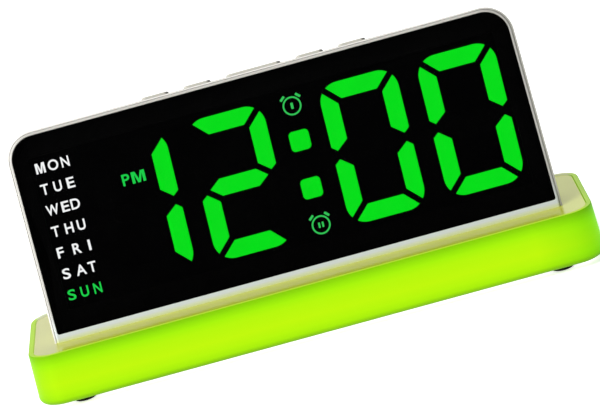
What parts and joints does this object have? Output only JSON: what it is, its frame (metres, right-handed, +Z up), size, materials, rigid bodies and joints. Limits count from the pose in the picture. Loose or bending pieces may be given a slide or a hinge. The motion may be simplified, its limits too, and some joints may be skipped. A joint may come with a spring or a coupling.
{
  "type": "digital alarm clock",
  "caption": "Digital alarm clock: a thin black display head with push buttons along its top leans back on a long low base with a glowing lime ring.",
  "frame": {"origin": "on the table, under the middle of the base's bounding box", "axes": "+X to the clock's right as seen by a reader, -Y to the front, +Z up"},
  "size_m": [0.204, 0.0544, 0.0901],
  "materials": {
    "lime_ring": "frosted",
    "cream_deck": "semi-gloss",
    "plate_white": "fine texture",
    "foot_rubber": "matte",
    "screw_steel": "plated",
    "cell_wrap": "printed wrap",
    "plated_metal": "nickel plated",
    "basket_steel": "satin",
    "cone_paper": "pressed paper",
    "magnet": "ferrite",
    "light_board": "white mask",
    "lamp": "clear resin",
    "board_green": "solder mask",
    "black_plastic": "moulded",
    "socket_ivory": "moulded",
    "cable_white": "sheath",
    "housing_grey": "fine satin",
    "bezel_white": "satin",
    "lens_black": "smoked acrylic",
    "reflector_dark": "moulded",
    "light_bar": "tinted diffuser",
    "legend_film": "dark film",
    "light_chip": "resin",
    "key_grey": "satin"
  },
  "bodies": {
    "clock_body": {"night_light_ring": "lime_ring", "base_deck": "cream_deck", "base_plate": "plate_white", "rubber_feet": "foot_rubber", "base_screws": "screw_steel", "battery_cells": "cell_wrap", "battery_contacts": "plated_metal", "speaker_basket": "basket_steel", "speaker_cone": "cone_paper", "speaker_magnet": "magnet", "front_light_board": "light_board", "rear_light_board": "light_board", "night_light_lamps": "lamp", "power_board": "board_green", "power_board_screws": "screw_steel", "power_inlet": "plated_metal", "inlet_tongue": "black_plastic", "cable_plug": "socket_ivory", "head_cable": "cable_white", "neck_screws": "screw_steel", "rear_housing": "housing_grey", "front_bezel": "bezel_white", "display_lens": "lens_black", "lens_tape": "black_plastic", "display_reflector": "reflector_dark", "hour_tens_bars": "light_bar", "hour_units_bars": "light_bar", "minute_tens_bars": "light_bar", "minute_units_bars": "light_bar", "colon_bars": "light_bar", "legend_windows": "legend_film", "display_chips": "light_chip", "main_board": "board_green", "clock_circuit": "black_plastic", "board_screws": "screw_steel", "housing_screws": "screw_steel", "key_board": "board_green", "key_switches": "black_plastic", "key_board_screws": "screw_steel"},
    "battery_hatch": {"battery_door": "plate_white", "battery_door_screw": "screw_steel"},
    "alarm_one_key": {"alarm_one_button": "key_grey", "alarm_one_plunger": "black_plastic"},
    "minus_key": {"minus_button": "key_grey", "minus_plunger": "black_plastic"},
    "snooze_key": {"snooze_button": "key_grey", "snooze_plunger": "black_plastic"},
    "plus_key": {"plus_button": "key_grey", "plus_plunger": "black_plastic"},
    "alarm_two_key": {"alarm_two_button": "key_grey", "alarm_two_plunger": "black_plastic"}
  },
  "joints": [
    {"name": "alarm_one_press", "type": "slide", "parent": "clock_body", "child": "alarm_one_key", "axis": [0, -0.3256, -0.9455], "range_m": [0, 0.0005], "stiffness_N_per_m": 500},
    {"name": "minus_press", "type": "slide", "parent": "clock_body", "child": "minus_key", "axis": [0, -0.3256, -0.9455], "range_m": [0, 0.0005], "stiffness_N_per_m": 500},
    {"name": "snooze_press", "type": "slide", "parent": "clock_body", "child": "snooze_key", "axis": [0, -0.3256, -0.9455], "range_m": [0, 0.0005], "stiffness_N_per_m": 700},
    {"name": "plus_press", "type": "slide", "parent": "clock_body", "child": "plus_key", "axis": [0, -0.3256, -0.9455], "range_m": [0, 0.0005], "stiffness_N_per_m": 500},
    {"name": "alarm_two_press", "type": "slide", "parent": "clock_body", "child": "alarm_two_key", "axis": [0, -0.3256, -0.9455], "range_m": [0, 0.0005], "stiffness_N_per_m": 500},
    {"name": "battery_hatch_lift", "type": "slide", "parent": "clock_body", "child": "battery_hatch", "axis": [0, 0, -1], "range_m": [0, 0.02]}
  ]
}
